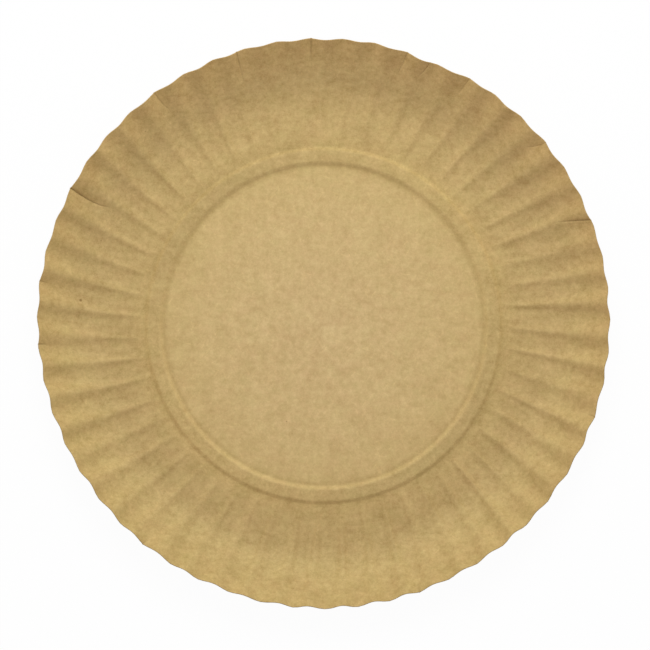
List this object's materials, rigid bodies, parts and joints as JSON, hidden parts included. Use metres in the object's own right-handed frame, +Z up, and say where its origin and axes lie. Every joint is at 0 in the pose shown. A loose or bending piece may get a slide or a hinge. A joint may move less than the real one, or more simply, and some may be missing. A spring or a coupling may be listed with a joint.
{
  "type": "paper plate",
  "caption": "Round kraft paper plate with a flat well, a raised bead round it and an upswept fluted rim, pressed in one piece.",
  "frame": {"origin": "centre of the well's underside, on the table the plate rests on", "axes": "+Z up along the plate's axis; +Y towards the top of the picture"},
  "size_m": [0.2299, 0.2298, 0.0157],
  "materials": {
    "kraft_board": "uncoated brown kraft paperboard, matt, with fine fibres and soft mottling"
  },
  "bodies": {
    "root": {"plate": "kraft_board"}
  },
  "joints": []
}
